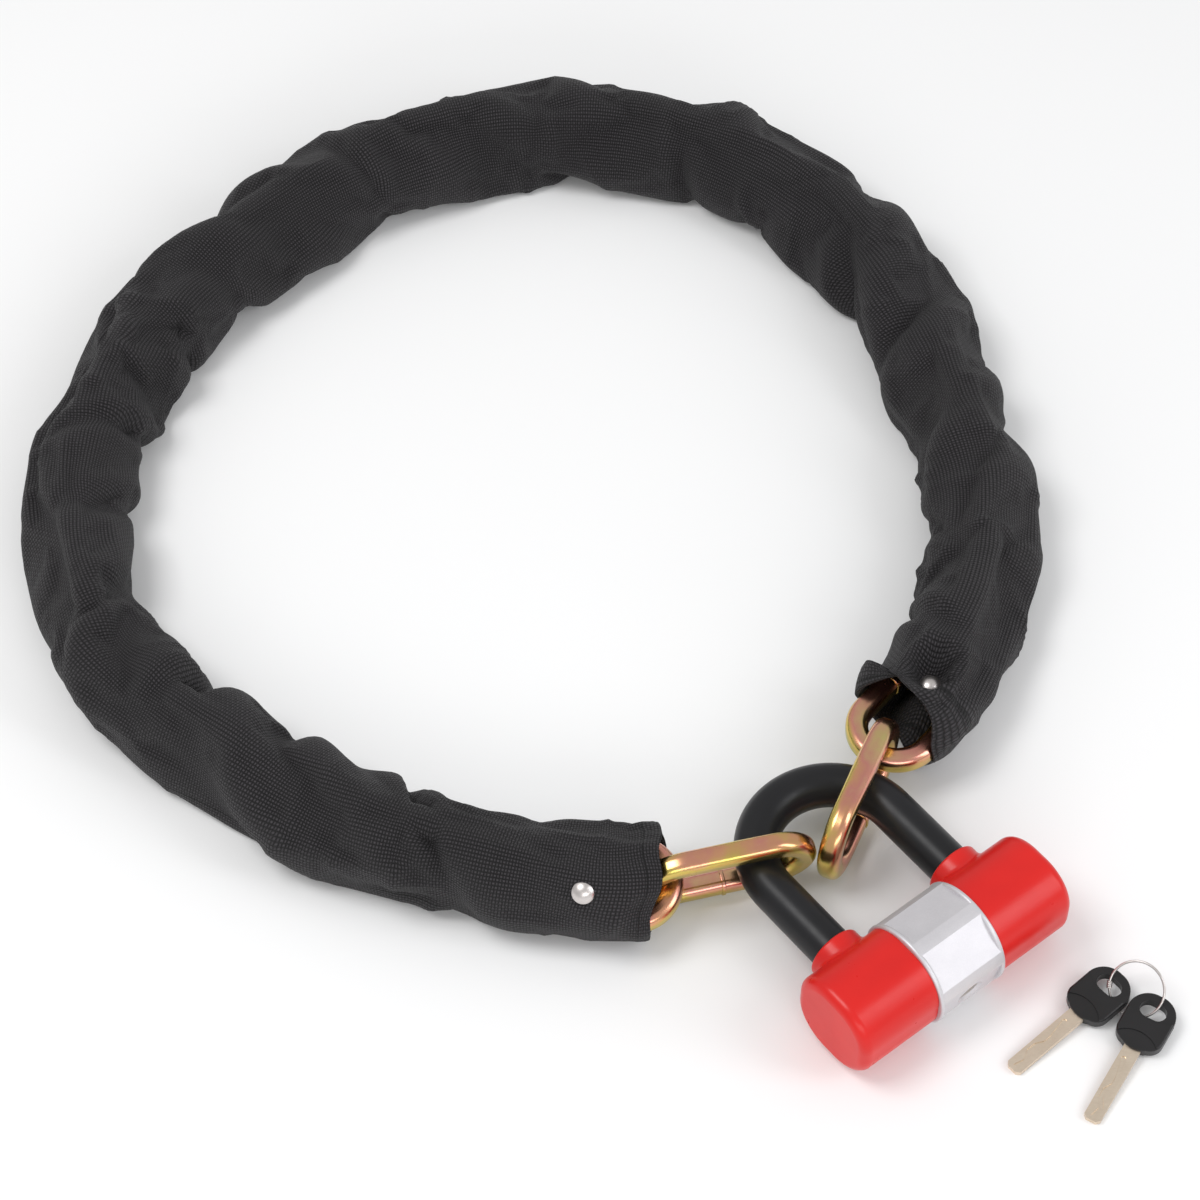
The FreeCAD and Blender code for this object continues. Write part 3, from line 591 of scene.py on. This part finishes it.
def make_sleeve(path, length, material):
    """The sleeve as one length of cloth over each hinge, cut half way between the hinges."""
    tree = link_surfaces()
    points = refined(settle(tube_points(path, tree), length))
    points += surface_normals(points) * small_creases(*points.shape[:2])[..., None]
    points = lifted_off_links(tree, points, HALF_THICK + SETTLED_ROOM)
    normals = surface_normals(points)
    rows, columns = points.shape[:2]
    v_step = length * SLACK / (rows - 1)
    u_size = CLOTH_ROUND / columns
    distance = np.arange(rows) * v_step
    half = half_thickness(distance)
    points[..., 2] = np.maximum(points[..., 2], FLOOR_ROOM + half[:, None])

    hinges = hinge_places()
    middle = points.mean(axis=1)
    hinge_rows = [int(np.argmin(np.linalg.norm((middle - hinge)[:, :2], axis=1))) for hinge in hinges]
    cuts = [0] + [(a + b) // 2 for a, b in zip(hinge_rows, hinge_rows[1:])] + [rows - 1]
    for n, (before, after) in enumerate(zip(RUNS, RUNS[1:])):
        first, last = cuts[n], cuts[n + 1]
        part = slice(first, last + 1)
        name = "fabric_" + before + "_to_" + after
        mesh = shell_mesh(name, points[part], normals[part], half[part], distance[first], v_step, u_size)
        mesh.materials.append(material)
        piece = add_object(name, mesh)
        covered = ["sleeve_" + before]
        if n == len(hinges) - 1:
            covered.append("sleeve_" + after)
        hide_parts(*covered)
        row = hinge_rows[n]
        reach = min(int(BLEND_REACH / v_step), row - first - 1, last - row - 1)
        start, end = Vector(middle[row - reach]), Vector(middle[row + reach])
        start.z = end.z = hinges[n][2]
        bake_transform(piece)


# ---------------------------------------------------------------- materials

class Nodes:
    """Short names for the shader nodes that the materials are built from."""

    def __init__(self, name):
        self.material = bpy.data.materials.new(name)
        self.material.use_nodes = True
        self.tree = self.material.node_tree
        self.shader = next(n for n in self.tree.nodes if n.type == "BSDF_PRINCIPLED")

    def new(self, kind, **values):
        made = self.tree.nodes.new(kind)
        for key, value in values.items():
            setattr(made, key, value)
        return made

    def link(self, a, b):
        self.tree.links.new(a, b)

    def math(self, operation, a, b=None, c=None):
        made = self.new("ShaderNodeMath", operation=operation)
        for socket, value in zip(made.inputs, (a, b, c)):
            if value is None:
                continue
            if isinstance(value, (int, float)):
                socket.default_value = value
            else:
                self.link(value, socket)
        return made.outputs[0]

    def noise(self, scale, detail=2.0, rough=0.5, vector=None, stretch=None):
        made = self.new("ShaderNodeTexNoise")
        made.inputs["Scale"].default_value = scale
        made.inputs["Detail"].default_value = detail
        made.inputs["Roughness"].default_value = rough
        if vector is None:
            vector = self.new("ShaderNodeTexCoord").outputs["Object"]
        if stretch is not None:
            mapping = self.new("ShaderNodeMapping")
            mapping.inputs["Scale"].default_value = stretch
            self.link(vector, mapping.inputs["Vector"])
            vector = mapping.outputs["Vector"]
        self.link(vector, made.inputs["Vector"])
        return made.outputs["Fac"]

    def ramp(self, factor, stops):
        made = self.new("ShaderNodeValToRGB")
        elements = made.color_ramp.elements
        while len(elements) < len(stops):
            elements.new(0.5)
        for element, (place, colour) in zip(elements, stops):
            element.position = place
            element.color = (*colour, 1.0)
        self.link(factor, made.inputs["Fac"])
        return made.outputs["Color"]

    def spread(self, factor, low, high):
        made = self.new("ShaderNodeMapRange")
        made.inputs["To Min"].default_value = low
        made.inputs["To Max"].default_value = high
        self.link(factor, made.inputs["Value"])
        return made.outputs["Result"]

    def bump(self, height, strength, distance, below=None):
        made = self.new("ShaderNodeBump")
        made.inputs["Strength"].default_value = strength
        made.inputs["Distance"].default_value = distance
        self.link(height, made.inputs["Height"])
        if below is not None:
            self.link(below, made.inputs["Normal"])
        return made.outputs["Normal"]

    def set(self, **values):
        for key, value in values.items():
            socket = self.shader.inputs[key.replace("_", " ")]
            if isinstance(value, (int, float)):
                socket.default_value = value
            elif isinstance(value, tuple):
                socket.default_value = (*value, 1.0)
            else:
                self.link(value, socket)
        return self.material


def sewing(n, across, along, cut_length):
    """The grooves of the long seam and of the hems at both mouths, and the stitches in the hem grooves."""
    from_mouth = n.math("MINIMUM", along, n.math("SUBTRACT", cut_length, along))
    from_seam = n.math("MINIMUM", across, n.math("SUBTRACT", CLOTH_ROUND, across))
    from_stitches = n.math("ABSOLUTE", n.math("SUBTRACT", from_mouth, STITCH_LINE))
    in_hem = n.math("LESS_THAN", from_stitches, GROOVE_HALF)
    in_seam = n.math("LESS_THAN", from_seam, GROOVE_HALF)
    dash = n.math("GREATER_THAN", n.math("FRACT", n.math("DIVIDE", across, STITCH_PITCH)), 0.35)
    return n.math("MAXIMUM", in_hem, in_seam), n.math("MULTIPLY", in_hem, dash)


def weave_material(cut_length):
    """Coarse black basket weave, worked out from the cloth's own flat coordinates, with a painted highlight
    on the thread tops and painted shade between the threads and in the seam and hem grooves.
    """
    n = Nodes("nylon_weave")
    uv = n.new("ShaderNodeSeparateXYZ")
    n.link(n.new("ShaderNodeUVMap", uv_map="cloth").outputs["UV"], uv.inputs[0])
    across = n.math("DIVIDE", uv.outputs["X"], WEAVE_PITCH)
    along = n.math("DIVIDE", uv.outputs["Y"], WEAVE_PITCH)
    parity = n.math("MODULO", n.math("ADD", n.math("FLOOR", across), n.math("FLOOR", along)), 2.0)
    part_u = n.math("FRACT", across)
    part_v = n.math("FRACT", along)
    hill_u = n.math("SINE", n.math("MULTIPLY", part_u, math.pi))
    hill_v = n.math("SINE", n.math("MULTIPLY", part_v, math.pi))
    warp = n.math("MULTIPLY", hill_u, n.math("POWER", hill_v, 0.5))
    weft = n.math("MULTIPLY", hill_v, n.math("POWER", hill_u, 0.5))
    over = n.math("MULTIPLY", warp, parity)
    under = n.math("MULTIPLY", n.math("MULTIPLY", weft, 0.8), n.math("SUBTRACT", 1.0, parity))
    height = n.math("ADD", over, under)
    fibres = n.noise(2600.0, detail=3.0, rough=0.7)
    patches = n.noise(14.0, detail=4.0, rough=0.6)
    # painted highlight: the colour is lighter where a thread stands up and darker between threads; the
    # fibre noise is real tone
    thread_highlight_and_fibres = n.math("ADD", n.math("MULTIPLY", height, 0.8), n.math("MULTIPLY", fibres, 0.25))
    sunk, thread = sewing(n, uv.outputs["X"], uv.outputs["Y"], cut_length)
    patchy_thread_highlight = n.math("MULTIPLY", thread_highlight_and_fibres, n.spread(patches, 0.75, 1.25))
    # painted shade: the colour in the seam and hem grooves is darkened by three quarters
    shade = n.math("MULTIPLY", n.math("ADD", patchy_thread_highlight, n.math("MULTIPLY", thread, 0.5)),
                   n.math("SUBTRACT", 1.0, n.math("MULTIPLY", sunk, 0.75)))
    # the dark end of this ramp is painted shade between the threads, the light end a painted highlight on
    # their tops
    colour = n.ramp(shade, [
        (0.0, (0.002, 0.002, 0.002)), (0.40, (0.011, 0.010, 0.011)), (1.0, (0.058, 0.053, 0.058)),
    ])
    surface = n.math("SUBTRACT", height, n.math("MULTIPLY", sunk, 2.0))
    normal = n.bump(surface, 1.0, 0.0006)
    return n.set(Base_Color=colour, Roughness=n.spread(fibres, 0.55, 0.80), Normal=normal,
                 Specular_IOR_Level=0.3, Sheen_Weight=0.05, Sheen_Roughness=0.4)


def zinc_material():
    """Yellow zinc passivation: gold with pink and green drifts, fine scratches and rubbed spots, and a
    colour that shifts with the way each face points: a painted sheen, pinker on the tops, and painted
    shade, darker olive underneath.
    """
    n = Nodes("zinc_gold")
    drift = n.noise(38.0, detail=2.0, rough=0.45)
    streaks = n.noise(260.0, detail=2.0, rough=0.5)
    # painted sheen and shade: the ramp is pushed up on upward and +X faces, towards pink, and down on
    # undersides, towards darker olive
    turned = n.new("ShaderNodeSeparateXYZ")
    n.link(n.new("ShaderNodeTexCoord").outputs["Normal"], turned.inputs[0])
    top_sheen_under_shade = n.math("MULTIPLY", turned.outputs["Z"], 0.26)
    side_painted_sheen = n.math("MULTIPLY", turned.outputs["X"], 0.14)
    place = n.math("ADD", n.math("ADD", n.math("MULTIPLY", drift, 0.75), n.math("MULTIPLY", streaks, 0.12)),
                   n.math("ADD", top_sheen_under_shade, side_painted_sheen))
    colour = n.ramp(place, [
        (0.10, (0.42, 0.30, 0.09)), (0.28, (0.50, 0.46, 0.10)), (0.40, (0.70, 0.50, 0.15)),
        (0.50, (0.66, 0.52, 0.13)), (0.60, (0.72, 0.38, 0.20)), (0.70, (0.70, 0.30, 0.24)),
        (0.80, (0.68, 0.42, 0.24)), (0.92, (0.62, 0.56, 0.20)),
    ])
    scuffs = n.noise(1100.0, detail=4.0, rough=0.8)
    rubbed = n.math("MULTIPLY", n.math("GREATER_THAN", scuffs, 0.67), n.spread(drift, 0.0, 0.7))
    mixed = n.new("ShaderNodeMix", data_type="RGBA")
    n.link(rubbed, mixed.inputs["Factor"])
    n.link(colour, mixed.inputs["A"])
    mixed.inputs["B"].default_value = (0.80, 0.76, 0.66, 1.0)
    fine = n.noise(420.0, detail=3.0, rough=0.6)
    rough = n.spread(n.noise(90.0, detail=3.0, rough=0.6), 0.12, 0.36)
    return n.set(Base_Color=mixed.outputs["Result"], Metallic=1.0, Roughness=rough,
                 Normal=n.bump(fine, 0.10, 0.0002))


def metal_material(name, colour, other, low, high, fineness=700.0, stretch=None, metallic=1.0, bump=0.08):
    """A metal whose colour and gloss drift a little, with a fine grain."""
    n = Nodes(name)
    drift = n.noise(90.0, detail=4.0, rough=0.6)
    grain = n.noise(fineness, detail=3.0, rough=0.65, stretch=stretch)
    mixed = n.ramp(n.math("ADD", n.math("MULTIPLY", drift, 0.6), n.math("MULTIPLY", grain, 0.4)),
                   [(0.3, colour), (0.7, other)])
    return n.set(Base_Color=mixed, Metallic=metallic, Roughness=n.spread(grain, low, high),
                 Normal=n.bump(grain, bump, 0.0001))


def plastic_material(name, colour, other, low, high, pebble, bump, shine):
    """A moulded plastic or dipped coat with slight colour drift and a fine moulded surface."""
    n = Nodes(name)
    drift = n.noise(35.0, detail=3.0, rough=0.5)
    grain = n.noise(pebble, detail=2.0, rough=0.5)
    mixed = n.ramp(drift, [(0.3, colour), (0.7, other)])
    return n.set(Base_Color=mixed, Roughness=n.spread(n.noise(160.0, detail=4.0), low, high),
                 Normal=n.bump(grain, bump, 0.00015), Specular_IOR_Level=shine)


def make_materials(cut_length):
    """Every material by the name of its slot."""
    return {
        "nylon_weave": weave_material(cut_length),
        "zinc_gold": zinc_material(),
        "hardened_steel": metal_material("hardened_steel", (0.40, 0.40, 0.41), (0.5, 0.5, 0.51), 0.25, 0.4),
        "black_vinyl": plastic_material("black_vinyl", (0.008, 0.008, 0.009), (0.013, 0.013, 0.015),
                                        0.30, 0.42, 700.0, 0.10, shine=0.30),
        "red_plastic": plastic_material("red_plastic", (0.70, 0.016, 0.012), (0.62, 0.012, 0.010),
                                        0.24, 0.36, 1500.0, 0.12, shine=0.34),
        "silver_paint": metal_material("silver_paint", (0.60, 0.585, 0.61), (0.70, 0.68, 0.705), 0.34, 0.48,
                                       fineness=1800.0, metallic=0.5, bump=0.05),
        "brass": metal_material("brass", (0.66, 0.50, 0.24), (0.74, 0.58, 0.32), 0.22, 0.36),
        "nickel": metal_material("nickel", (0.60, 0.56, 0.54), (0.72, 0.68, 0.66), 0.26, 0.40),
        "nickel_silver": metal_material("nickel_silver", (0.72, 0.60, 0.47), (0.84, 0.72, 0.58), 0.26, 0.42,
                                        fineness=500.0, stretch=(1.0, 4.0, 1.0), bump=0.15),
        "black_plastic": plastic_material("black_plastic", (0.010, 0.010, 0.010), (0.017, 0.016, 0.017),
                                          0.28, 0.42, 2200.0, 0.2, shine=0.36),
    }


def dress_nodes(materials):
    """Gives every CAD node the material that the record names for it."""
    slots = {s["node"]: s["material_slot"] for s in frame["record"]["subparts"]}
    for name, node in frame["nodes"].items():
        material = materials[slots[name]]
        if node.material_slots:
            for slot in node.material_slots:
                slot.link = "OBJECT"
                slot.material = material
        else:
            node.data.materials.append(material)


# ---------------------------------------------------------------- studio

def make_floor():
    mesh = square_mesh("floor", STAGE_FLOOR)
    floor = add_object("floor", mesh)
    n = Nodes("floor_white")
    shade = n.ramp(n.noise(3.0, detail=2.0), [(0.0, (0.90, 0.90, 0.90)), (1.0, (0.93, 0.93, 0.93))])
    mesh.materials.append(n.set(Base_Color=shade, Roughness=0.8, Specular_IOR_Level=0.1))


def area_light(name, place, look_at, size, power, colour=(1, 1, 1)):
    lamp = bpy.data.lights.new(name, "AREA")
    lamp.shape = "RECTANGLE"
    lamp.size, lamp.size_y = size
    lamp.energy = power
    lamp.color = colour
    made = add_object(name, lamp)
    made.location = place
    made.rotation_euler = (Vector(look_at) - Vector(place)).to_track_quat("-Z", "Y").to_euler()


def light_scene():
    world = bpy.data.worlds.new("studio")
    bpy.context.scene.world = world
    world.use_nodes = True
    back = next(n for n in world.node_tree.nodes if n.type == "BACKGROUND")
    back.inputs["Color"].default_value = (1.0, 1.0, 1.0, 1.0)
    back.inputs["Strength"].default_value = 0.62
    area_light("key", (-0.7, -0.2, 1.5), (0, 0, 0), (0.7, 0.7), 10)
    area_light("side", (1.4, -0.5, 1.0), (0.1, -0.1, 0), (0.5, 1.2), 7, (0.95, 0.97, 1.0))
    area_light("front", (0.3, -1.6, 0.8), (0, -0.1, 0), (1.4, 0.4), 6)


def make_camera():
    """The camera that took the photograph, worked out from it."""
    data = bpy.data.cameras.new("camera")
    data.sensor_width = FILM_WIDTH
    data.lens = FILM_WIDTH / 2 / math.tan(math.radians(FIELD_OF_VIEW / 2))
    data.clip_start = 0.05
    camera = add_object("camera", data)
    camera.location = LOOK_FROM
    camera.rotation_euler = (LOOK_AT - LOOK_FROM).to_track_quat("-Z", "Y").to_euler()
    bpy.context.scene.camera = camera


def main():
    path, length = sleeve_path()
    materials = make_materials(length * SLACK)
    dress_nodes(materials)
    make_sleeve(path, length, materials["nylon_weave"])
    make_floor()
    light_scene()
    make_camera()
    bpy.context.scene.view_settings.view_transform = "Standard"


main()
